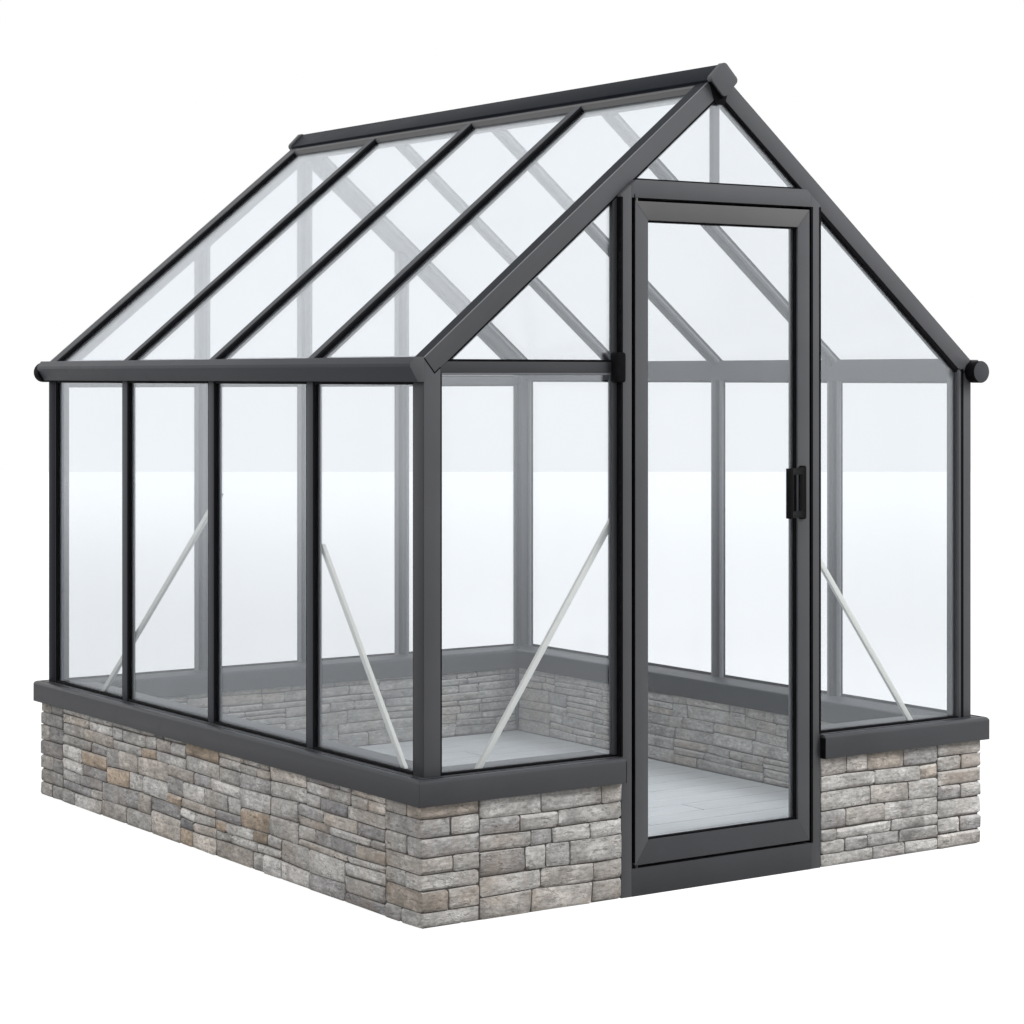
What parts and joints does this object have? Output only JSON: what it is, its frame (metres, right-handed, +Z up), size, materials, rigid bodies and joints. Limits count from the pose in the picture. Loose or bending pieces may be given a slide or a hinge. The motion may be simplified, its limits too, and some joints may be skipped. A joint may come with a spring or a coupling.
{
  "type": "glass greenhouse",
  "caption": "Glazed greenhouse with a pitched glass roof on a low stone-clad wall, with dark aluminium framing and a hinged glass door in the front gable.",
  "frame": {"origin": "on the ground, in the middle of the building's plan", "axes": "+X to the right as seen facing the door, +Y from the door to the back gable, +Z up"},
  "size_m": [2.166, 2.618, 2.424],
  "materials": {
    "stone": "rough split stone",
    "deck": "pale grey boards",
    "frame_paint": "satin anthracite powder coat",
    "brace_metal": "mill finish",
    "clear_glass": "clear polished",
    "handle_black": "matt black"
  },
  "bodies": {
    "house": {"wall_left": "stone", "wall_right": "stone", "wall_back": "stone", "wall_front_left": "stone", "wall_front_right": "stone", "floor_deck": "deck", "cap_left": "frame_paint", "cap_right": "frame_paint", "cap_back": "frame_paint", "cap_front_left": "frame_paint", "cap_front_right": "frame_paint", "corner_posts_front": "frame_paint", "corner_posts_back": "frame_paint", "side_bars_left": "frame_paint", "side_bars_right": "frame_paint", "eaves_gutter_left": "frame_paint", "eaves_gutter_right": "frame_paint", "gutter_outlets": "frame_paint", "ridge_beam": "frame_paint", "ridge_end_blocks": "frame_paint", "rafters_front": "frame_paint", "rafters_back": "frame_paint", "roof_bars_left": "frame_paint", "roof_bars_right": "frame_paint", "door_posts": "frame_paint", "door_lintel": "frame_paint", "door_threshold": "frame_paint", "front_rail": "frame_paint", "king_bar": "frame_paint", "back_mullions": "frame_paint", "back_rail": "frame_paint", "braces_left": "brace_metal", "braces_front": "brace_metal", "glass_left": "clear_glass", "glass_right": "clear_glass", "glass_roof_left": "clear_glass", "glass_roof_right": "clear_glass", "glass_front": "clear_glass", "glass_back": "clear_glass"},
    "door": {"door_stile_hinge": "frame_paint", "door_stile_latch": "frame_paint", "door_top_rail": "frame_paint", "door_bottom_rail": "frame_paint", "door_glass": "clear_glass", "door_handle": "handle_black"}
  },
  "joints": [
    {"name": "door_hinge", "type": "hinge", "parent": "house", "child": "door", "pos_m": [-0.322, -1.265, 0], "axis": [0, 0, -1], "range_deg": [0, 110]}
  ]
}
